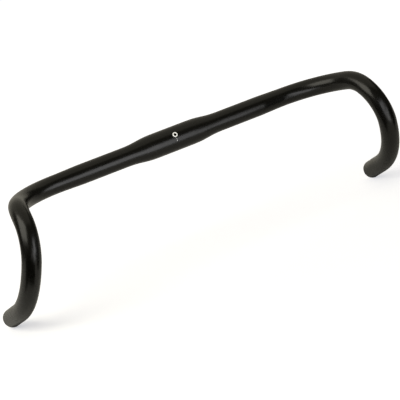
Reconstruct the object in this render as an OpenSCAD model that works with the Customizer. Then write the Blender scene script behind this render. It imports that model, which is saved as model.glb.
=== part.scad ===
// Drop handlebar for gravel bicycles: one hollow aluminium tube, butted at the stem clamp and bent in a bender.
// Millimetres. Origin at the middle of the stem clamp, +X along the tops, -Y forward on the bicycle, +Z up.
// The ramps are level. Each side is drawn outward from the middle, the way the tube passes through the bender.

/* [Stem clamp] */
// outside diameter that the stem clamps
clamp_d = 31.8; // [31:0.1:35]
// whole length of the full clamp diameter
clamp_len = 52; // [44:1:90]
// wall thickness under the clamp
clamp_wall = 2.4; // [2:0.1:3.5]
// length of the S-shaped shoulder from the clamp to the tops
shoulder_len = 42; // [25:1:60]

/* [Tops] */
// outside diameter of the round tops
tops_d = 25.4; // [24.2:0.1:26.8]
// wall thickness of the tops
tops_wall = 1.9; // [1.5:0.1:3]
// length of the even tops on each side
tops_len = 62; // [30:1:90]
// length of the taper down to the bent part of the tube
neck_len = 30; // [15:1:45]

/* [Corners and ramps] */
// outside diameter from the corners to the open ends
drop_d = 23.8; // [22.2:0.1:24]
// wall thickness from the corners to the open ends
drop_wall = 1.9; // [1.5:0.1:2.6]
// straight tube that the bender grips before the corner
grip_len = 2; // [1:0.5:20]
// centreline radius of the corner
corner_r = 74; // [50:1:95]
// how far the corner turns; less than 90 leaves the ramps pointing outward
corner_deg = 72; // [60:1:88]
// straight ramp between the corner and the hook
ramp_len = 2.5; // [1:0.5:25]

/* [Hooks] */
// turn of the tube in its grip before the first bend of the hook
hook_roll = 79; // [65:1:95]
// centreline radius of the first bend, under the brake lever
top_r = 48; // [35:1:80]
// angle of the first bend
top_deg = 38; // [20:1:50]
// further turn of the tube, which sets the flare of the drops
flare_roll = 29; // [10:1:36]
// centreline radius of the tightest bend, at the front of the hook
front_r = 43; // [36:1:60]
// angle of the tightest bend
front_deg = 75; // [55:1:90]
// centreline radius of the long bend into the drop
low_r = 120; // [80:1:150]
// angle of the long bend
low_deg = 48; // [30:1:55]
// straight tube left between two bends of the hook
link_len = 1.5; // [1:0.5:10]

/* [Open ends] */
// straight tube at each open end
end_len = 38; // [20:1:90]
// rounding of the outer edge of the cut
end_round = 0.6; // [0.2:0.1:1]

/* [Preview] */
// flats round the tube in the preview
round_fn = 48; // [32:8:72]
// steps in a full turn of a bend in the preview
bend_fn = 60; // [36:6:120]

/* [Hidden] */
bar_color = [0.15, 0.15, 0.14];

// how much each face of the wall draws in where the tube is stretched round a bend
draw = 0.03;
// how far that drawn tube runs into the straight tube on either side
draw_run = 0.4;

clamp_r = clamp_d / 2;
tops_r = tops_d / 2;
drop_r = drop_d / 2;
clamp_bore = clamp_r - clamp_wall;
tops_bore = tops_r - tops_wall;
drop_bore = drop_r - drop_wall;

// where each zone of the straight middle ends, from the middle of the bar
clamp_end = clamp_len / 2;
tops_end = clamp_end + shoulder_len + tops_len;
neck_end = tops_end + neck_len;
straight_end = neck_end + grip_len;

// radius of the two equal arcs that make an S from radius a to radius b over a length
function s_arc(a, b, length) = (pow(length, 2) + pow(a - b, 2)) / (4 * (a - b));

// angle that a length along the centreline takes up at a bend's radius
function arc_deg(length, radius) = length / radius * 180 / PI;

// what lies under the S curve, as radius against length along the tube
module s_profile(a, b, length) {
    arc = s_arc(a, b, length);
    square([b, length]);
    intersection() {
        square([a, length / 2]);
        translate([a - arc, 0])
            circle(r = arc, $fn = 6 * bend_fn);
    }
    difference() {
        square([(a + b) / 2, length]);
        translate([b + arc, length])
            circle(r = arc, $fn = 6 * bend_fn);
    }
}

// what lies under one face of the straight middle of the bar, as radius against length
module middle_profile(clamp, tops, drop) {
    translate([0, -straight_end])
        square([drop, 2 * straight_end]);
    translate([0, -tops_end])
        square([tops, 2 * tops_end]);
    translate([0, -clamp_end])
        square([clamp, 2 * clamp_end]);
    for (side = [0, 1])
        mirror([0, side]) {
            translate([0, clamp_end])
                s_profile(clamp, tops, shoulder_len);
            polygon([[0, 0], [tops, 0], [tops, tops_end], [drop, neck_end], [0, neck_end]]);
        }
}

// turns a profile drawn as radius against length so that its length runs along +X
module lathe() {
    rotate([90, 0, 90])
        rotate_extrude($fn = round_fn)
            children();
}

// the butted middle of the bar: the stem clamp, its shoulders, the tops and the necks
module middle() {
    lathe()
        difference() {
            middle_profile(clamp_r, tops_r, drop_r);
            middle_profile(clamp_bore, tops_bore, drop_bore);
        }
}

// a straight piece of the tube that is bent, and what follows it
module straight(length) {
    lathe()
        translate([drop_bore, 0])
            square([drop_wall, length]);
    translate([length, 0, 0])
        children();
}

// a bend toward -Y after the tube is rolled in its grip, and what follows it
module bend(radius, deg, roll = 0) {
    run_deg = arc_deg(draw_run, radius);
    rotate([roll, 0, 0]) {
        translate([0, -radius, 0])
            rotate([0, 0, 90 - deg - run_deg])
                rotate_extrude(angle = deg + 2 * run_deg, $fn = bend_fn)
                    translate([radius, 0])
                        difference() {
                            circle(r = drop_r - draw, $fn = round_fn);
                            circle(r = drop_bore + draw, $fn = round_fn);
                        }
        translate([0, -radius, 0])
            rotate([0, 0, -deg])
                translate([0, radius, 0])
                    children();
    }
}

// the last straight run, with the outer edge of the cut rounded
module open_end() {
    lathe()
        difference() {
            translate([drop_bore, 0])
                square([drop_wall, end_len]);
            translate([drop_r - end_round, end_len - end_round])
                difference() {
                    square(2 * end_round);
                    circle(r = end_round, $fn = round_fn);
                }
        }
}

module side() {
    translate([straight_end, 0, 0])
        bend(corner_r, corner_deg)
            straight(ramp_len)
                bend(top_r, top_deg, hook_roll)
                    straight(link_len)
                        bend(front_r, front_deg, flare_roll)
                            straight(link_len)
                                bend(low_r, low_deg)
                                    open_end();
}

module handlebar() {
    color(bar_color) {
        middle();
        side();
        mirror([1, 0, 0])
            side();
    }
}

handlebar();
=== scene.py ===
import math
import bpy
from mathutils import Matrix, Vector


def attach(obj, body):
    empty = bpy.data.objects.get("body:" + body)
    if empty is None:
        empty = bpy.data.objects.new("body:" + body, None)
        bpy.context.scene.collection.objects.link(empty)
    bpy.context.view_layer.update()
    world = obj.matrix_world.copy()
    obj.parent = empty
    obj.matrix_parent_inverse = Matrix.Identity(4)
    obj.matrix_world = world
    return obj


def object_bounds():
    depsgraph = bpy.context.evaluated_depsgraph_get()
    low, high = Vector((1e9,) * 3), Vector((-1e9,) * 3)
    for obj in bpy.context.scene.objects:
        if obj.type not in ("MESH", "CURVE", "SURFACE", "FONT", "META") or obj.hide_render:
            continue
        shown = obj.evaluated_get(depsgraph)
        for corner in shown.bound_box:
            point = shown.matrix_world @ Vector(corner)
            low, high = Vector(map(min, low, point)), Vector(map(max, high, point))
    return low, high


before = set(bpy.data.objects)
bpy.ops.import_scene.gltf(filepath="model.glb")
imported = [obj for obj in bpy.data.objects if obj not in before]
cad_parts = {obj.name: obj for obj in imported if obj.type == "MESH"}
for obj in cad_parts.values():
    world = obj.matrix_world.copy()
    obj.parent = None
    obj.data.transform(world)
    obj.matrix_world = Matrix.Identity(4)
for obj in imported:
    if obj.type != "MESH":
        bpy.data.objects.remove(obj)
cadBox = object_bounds()
mm = 0.001


def linear(hexColour):
    # the linear light of a colour written as sRGB hex
    parts = [int(hexColour[i:i + 2], 16) / 255 for i in (1, 3, 5)]
    return [c / 12.92 if c <= 0.04045 else ((c + 0.055) / 1.055) ** 2.4 for c in parts] + [1.0]


def addNode(tree, kind, settings=None, links=None):
    # each setting goes to the node's own property of that name, or else to its socket
    node = tree.nodes.new(kind)
    for name, value in (settings or {}).items():
        if isinstance(name, str) and hasattr(node, name):
            setattr(node, name, value)
        else:
            node.inputs[name].default_value = value
    for name, source in (links or {}).items():
        tree.links.new(source, node.inputs[name])
    return node


def newMaterial(name):
    material = bpy.data.materials.new(name)
    material.use_nodes = True
    tree = material.node_tree
    tree.nodes.clear()
    return material, tree


# the finish of the tube: aluminium, bead-blasted and anodised black
anodised = {
    "dye": "#0a0906",           # warm black
    "thinDye": "#0e0d09",       # the faint lighter clouds in it
    "cloud": 18.0,              # mm across a cloud
    "cloudDetail": 3.0,
    "metallic": 0.3,            # the dye hides most of the metal
    "roughness": 0.27,
    "uneven": 0.03,             # how far the clouds move the roughness up and down
    "pit": 0.35,                # mm between the pits, coarser than the real 0.1 so that they show
    "pitDetail": 2.0,
    "pitDepth": 0.004,          # mm
    "pitStrength": 0.25,        # 1 is the full depth
}


def blackAnodised():
    # soft even sheen: the pits spread each highlight, the dye keeps the rest a warm near-black
    material, tree = newMaterial("black anodised aluminium")
    place = addNode(tree, "ShaderNodeTexCoord").outputs["Object"]
    pits = addNode(tree, "ShaderNodeTexNoise",
                   {"Scale": 1 / (anodised["pit"] * mm), "Detail": anodised["pitDetail"]},
                   {"Vector": place})
    clouds = addNode(tree, "ShaderNodeTexNoise",
                     {"Scale": 1 / (anodised["cloud"] * mm), "Detail": anodised["cloudDetail"]},
                     {"Vector": place})
    tone = addNode(tree, "ShaderNodeMix",
                   {"data_type": "RGBA", 6: linear(anodised["dye"]), 7: linear(anodised["thinDye"])},
                   {0: clouds.outputs["Fac"]})
    smooth = anodised["roughness"] - anodised["uneven"]
    rough = anodised["roughness"] + anodised["uneven"]
    sheen = addNode(tree, "ShaderNodeMapRange",
                    {"To Min": smooth, "To Max": rough},
                    {"Value": clouds.outputs["Fac"]})
    bump = addNode(tree, "ShaderNodeBump",
                   {"Strength": anodised["pitStrength"], "Distance": anodised["pitDepth"] * mm},
                   {"Height": pits.outputs["Fac"]})
    shader = addNode(tree, "ShaderNodeBsdfPrincipled",
                     {"Metallic": anodised["metallic"]},
                     {"Base Color": tone.outputs[2],
                      "Roughness": sheen.outputs["Result"],
                      "Normal": bump.outputs["Normal"]})
    addNode(tree, "ShaderNodeOutputMaterial", None, {"Surface": shader.outputs["BSDF"]})
    return material


def paintTube():
    finish = blackAnodised()
    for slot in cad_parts["handlebar"].material_slots:
        slot.material = finish


# centring mark printed on the stem clamp: a plain ring with a tick below it, sizes in mm
mark = {
    "colour": "#f2f2ee",
    "radius": 15.9,             # the clamp it lies on
    "thick": 0.05,              # how far the ink stands proud of the clamp, and reaches into it
    "place": 0.0,               # from the middle of the bar
    "outer": 3.3,               # radii of the ring
    "inner": 1.9,
    "turn": 26.0,               # degrees above straight forward
    "tickWidth": 0.22,
    "tickHeight": 4.5,
    "tickTurn": 1.0,            # degrees above straight forward
    "skin": 16,                 # width of the skin of ink that the mark is stamped from
    "skinCore": 20,             # length of the drum that hollows it
    "stamp": 6,                 # depth of the ring's stamp
    "stampCore": 8,             # length of the drum that hollows it
    "tickStamp": 4,             # depth of the tick's stamp
    "skinSides": 360,
    "ringSides": 96,
}


def whiteInk():
    # matt pad-printed ink: flat off-white, duller than the tube round it
    material, tree = newMaterial("white pad print")
    shader = addNode(tree, "ShaderNodeBsdfPrincipled",
                     {"Base Color": linear(mark["colour"]), "Roughness": 0.5, "IOR": 1.5})
    addNode(tree, "ShaderNodeOutputMaterial", None, {"Surface": shader.outputs["BSDF"]})
    return material


def addRound(radius, depth, sides, place, turn):
    bpy.ops.mesh.primitive_cylinder_add(vertices=sides, radius=radius, depth=depth,
                                        location=place, rotation=turn)
    return bpy.context.object


def applyAll(piece):
    bpy.ops.object.select_all(action="DESELECT")
    piece.select_set(True)
    bpy.context.view_layer.objects.active = piece
    for modifier in list(piece.modifiers):
        bpy.ops.object.modifier_apply(modifier=modifier.name)
    bpy.ops.object.transform_apply(location=True, rotation=True, scale=True)


def cut(piece, tool, operation):
    modifier = piece.modifiers.new("cut", "BOOLEAN")
    modifier.operation = operation
    modifier.solver = "EXACT"
    modifier.object = tool
    applyAll(piece)
    bpy.data.objects.remove(tool)


def onClamp(turn):
    # the place on the clamp's surface that is turned this far up from straight forward
    r = mark["radius"] * mm
    return (mark["place"] * mm, -r * math.cos(turn), r * math.sin(turn))


def makeMark():
    # a thin skin of ink round the clamp, cut to a ring and a tick by a stamp
    r = mark["radius"] * mm
    thick = mark["thick"] * mm
    middle = (mark["place"] * mm, 0, 0)
    along = (0, math.pi / 2, 0)
    ink = addRound(r + thick, mark["skin"] * mm, mark["skinSides"], middle, along)
    ink.name = "centringMark"
    core = addRound(r - thick, mark["skinCore"] * mm, mark["skinSides"], middle, along)
    cut(ink, core, "DIFFERENCE")
    turn = math.radians(mark["turn"])
    ring = onClamp(turn)
    outward = (math.pi / 2 - turn, 0, 0)
    stamp = addRound(mark["outer"] * mm, mark["stamp"] * mm, mark["ringSides"], ring, outward)
    hole = addRound(mark["inner"] * mm, mark["stampCore"] * mm, mark["ringSides"], ring, outward)
    cut(stamp, hole, "DIFFERENCE")
    tickTurn = math.radians(mark["tickTurn"])
    bpy.ops.mesh.primitive_cube_add(size=1, location=onClamp(tickTurn), rotation=(-tickTurn, 0, 0))
    tick = bpy.context.object
    tick.scale = (mark["tickWidth"] * mm, mark["tickStamp"] * mm, mark["tickHeight"] * mm)
    cut(stamp, tick, "UNION")
    cut(ink, stamp, "INTERSECT")
    ink.data.materials.append(whiteInk())
    return ink


# the camera stands ahead of the bar, toward the rider's right and a little above it
camera = {
    "azimuth": -21.562,         # degrees
    "elevation": 12.03,
    "roll": -17.282,            # tilted, so that the bar rises to the right
    "distance": 2014.57,        # mm
    "across": 35.163,           # mm that it then moves aside, along the picture's width
    "up": -76.862,              # and along the picture's height
    "lens": 143.24,             # mm
    "sensor": 36,               # mm
}


def placeCamera():
    az, el, roll = (math.radians(camera[k]) for k in ("azimuth", "elevation", "roll"))
    back = Vector((math.sin(az) * math.cos(el), -math.cos(az) * math.cos(el), math.sin(el)))
    side = Vector((math.cos(az), math.sin(az), 0))
    top = back.cross(side)
    right = side * math.cos(roll) + top * math.sin(roll)
    above = top * math.cos(roll) - side * math.sin(roll)
    data = bpy.data.cameras.new("camera")
    data.lens = camera["lens"]
    data.sensor_width = camera["sensor"]
    shot = bpy.data.objects.new("camera", data)
    bpy.context.collection.objects.link(shot)
    where = (back * camera["distance"] + right * camera["across"] + above * camera["up"]) * mm
    shot.matrix_world = Matrix.Translation(where) @ Matrix((right, above, back)).transposed().to_4x4()
    bpy.context.scene.camera = shot


# tints of the light
warmWhite = (1.03, 0.98, 0.82)
coolWhite = (1.0, 1.0, 1.02)
plainWhite = (1.0, 1.0, 1.0)

# the dim room that the tube reflects between the lamps
room = {
    "colour": warmWhite,
    "glow": 0.06,
}

# place, aim and size in metres; left and right are as the camera sees them
lamps = {
    # warm soft box at the front left: the broad light on the tube's upper side
    "key": {"place": (-1.08, -0.36, 0.88), "aim": (-0.25, 0, -0.05), "size": (1.5, 1.15),
            "glow": 2.9, "colour": (1.01, 0.98, 0.87)},
    # large soft panels above and behind
    "top": {"place": (0.3, 0.45, 1.6), "aim": (0.3, 0.45, 0), "size": (3.5, 3.0),
            "glow": 0.46, "colour": warmWhite},
    "back": {"place": (0.9, 2.2, 0.7), "aim": (0.9, 0, 0.4), "size": (5.5, 1.8),
             "glow": 0.46, "colour": warmWhite},
    # pale cards low in front, facing up: the band along the tops
    "leftCard": {"place": (0.191, -0.95, 0.1), "aim": (0.077, -0.663, 1.05), "size": (0.31, 1.5),
                 "glow": 3.0, "colour": coolWhite},
    "rightCard": {"place": (0.4, -0.875, 0.1), "aim": (0.286, -0.588, 1.05), "size": (0.14, 1.45),
                  "glow": 1.9, "colour": coolWhite},
    # a strip that carries the band over the shoulder to the right of the clamp
    "shoulderStrip": {"place": (0.715, -0.91, 0.06), "aim": (0.574, -0.718, 1.03), "size": (0.1, 1.52),
                      "glow": 2.3, "colour": plainWhite},
    # the light down the left hook: a dim board and a bright strip
    "leftBoard": {"place": (-0.29, -0.6, -0.1), "aim": (-0.3, -0.497, 0.895), "size": (0.12, 0.6),
                  "glow": 0.9, "colour": (1.0, 0.99, 0.95)},
    "leftStrip": {"place": (-0.19, -0.54, -0.1), "aim": (-0.2, -0.437, 0.895), "size": (0.07, 0.64),
                  "glow": 2.4, "colour": plainWhite},
    # the short bright line down the right hook
    "rightStrip": {"place": (0.26, -0.24, -0.118), "aim": (0.255, -0.14, 0.877), "size": (0.07, 0.12),
                   "glow": 2.4, "colour": plainWhite},
}


def makeRoom():
    # white behind the object for the camera, the dim room for everything else
    world = bpy.data.worlds.new("studio")
    bpy.context.scene.world = world
    world.use_nodes = True
    tree = world.node_tree
    tree.nodes.clear()
    seen = addNode(tree, "ShaderNodeLightPath")
    white = addNode(tree, "ShaderNodeBackground", {"Color": (*plainWhite, 1), "Strength": 1.0})
    dim = addNode(tree, "ShaderNodeBackground", {"Color": (*room["colour"], 1), "Strength": room["glow"]})
    mix = addNode(tree, "ShaderNodeMixShader", None,
                  {0: seen.outputs["Is Camera Ray"], 1: dim.outputs[0], 2: white.outputs[0]})
    addNode(tree, "ShaderNodeOutputWorld", None, {"Surface": mix.outputs[0]})


def addLight(name, lamp):
    data = bpy.data.lights.new(name, "AREA")
    data.shape = "RECTANGLE"
    data.size, data.size_y = lamp["size"]
    data.energy = lamp["glow"] * math.pi * data.size * data.size_y      # an even glow, whatever the size
    data.color = lamp["colour"]
    light = bpy.data.objects.new(name, data)
    bpy.context.collection.objects.link(light)
    light.location = lamp["place"]
    light.rotation_euler = (Vector(lamp["aim"]) - Vector(lamp["place"])).to_track_quat("-Z", "Y").to_euler()
    light.visible_camera = False


def lightStudio():
    makeRoom()
    for name, lamp in lamps.items():
        addLight(name, lamp)


# the floor's own glow lifts it to white for the camera and leaves the shadow on it
studioFloor = {
    "colour": "#dadada",
    "width": 30,                # metres
    "lit": (-0.3, -0.2, 0),     # where the key lights it most, so that it needs the least glow
    "glowNear": 0.5,            # the glow there
    "glowFar": 1.0,
    "far": 2.6,                 # metres from there to where the glow is full
    "glowColour": (0.995, 1.0, 1.05, 1),        # evens out the warm lamps
}


def floorPaint():
    # plain pale floor that reads as white paper, with the shadow still on it
    material, tree = newMaterial("pale studio floor")
    seen = addNode(tree, "ShaderNodeLightPath")
    place = addNode(tree, "ShaderNodeTexCoord").outputs["Object"]
    away = addNode(tree, "ShaderNodeVectorMath",
                   {"operation": "DISTANCE", 1: studioFloor["lit"]},
                   {0: place})
    fade = addNode(tree, "ShaderNodeMapRange",
                   {"From Max": studioFloor["far"],
                    "To Min": studioFloor["glowNear"],
                    "To Max": studioFloor["glowFar"]},
                   {"Value": away.outputs["Value"]})
    paper = addNode(tree, "ShaderNodeBsdfDiffuse", {"Color": linear(studioFloor["colour"])})
    lift = addNode(tree, "ShaderNodeMath", {"operation": "MULTIPLY"},
                   {0: seen.outputs["Is Camera Ray"], 1: fade.outputs["Result"]})
    glow = addNode(tree, "ShaderNodeEmission", {"Color": studioFloor["glowColour"]},
                   {"Strength": lift.outputs[0]})
    both = addNode(tree, "ShaderNodeAddShader", None, {0: paper.outputs[0], 1: glow.outputs[0]})
    addNode(tree, "ShaderNodeOutputMaterial", None, {"Surface": both.outputs[0]})
    return material


def makeFloor():
    bpy.ops.mesh.primitive_plane_add(size=studioFloor["width"], location=(0, 0, cadBox[0][2]))
    floor = bpy.context.object
    floor.name = "floor"
    floor.data.materials.append(floorPaint())


# black cloths and flags that show only as the dark parts of the tube's reflections, in metres
cloths = {
    "colour": "#0d0d0d",
    "lift": 0.003,              # above the floor
    # lying round the bar: middle and size
    "flat": [
        ((0, -1.35), (4.6, 2.2)),               # in front
        ((-1.27, -0.183), (2.06, 0.135)),       # left
        ((-1.34, -0.11), (2.0, 0.1)),
        ((1.33, -0.19), (2.0, 0.14)),           # right
    ],
    # small flags standing upright: middle, width and height, and turn in degrees
    "flags": [
        ((0.2, -0.14, -0.088), (0.09, 0.116), 90),          # on the inner side of the right hook
        ((0.153, -0.025, -0.006), (0.032, 0.024), 0),       # just ahead of the right tops
        ((-0.2, -0.14, -0.085), (0.05, 0.11), 90),          # on the inner side of the left hook
    ],
}


def clothBlack():
    # matt cloth that swallows the light
    material, tree = newMaterial("black cloth")
    shader = addNode(tree, "ShaderNodeBsdfDiffuse", {"Color": linear(cloths["colour"])})
    addNode(tree, "ShaderNodeOutputMaterial", None, {"Surface": shader.outputs["BSDF"]})
    return material


def hangCloth(place, size, turn, black):
    bpy.ops.mesh.primitive_plane_add(size=1, location=place, rotation=turn)
    cloth = bpy.context.object
    cloth.name = "cloth"
    cloth.scale = (*size, 1)
    cloth.data.materials.append(black)
    cloth.visible_camera = False
    cloth.visible_diffuse = False
    cloth.visible_shadow = False


def hangCloths():
    black = clothBlack()
    for (x, y), size in cloths["flat"]:
        hangCloth((x, y, cadBox[0][2] + cloths["lift"]), size, (0, 0, 0), black)
    for place, size, turn in cloths["flags"]:
        hangCloth(place, size, (math.pi / 2, 0, math.radians(turn)), black)


print("tube")
paintTube()
print("centring mark")
ink = makeMark()
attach(ink, "root")
print("studio")
placeCamera()
lightStudio()
makeFloor()
hangCloths()
bpy.context.scene.view_settings.view_transform = "Standard"
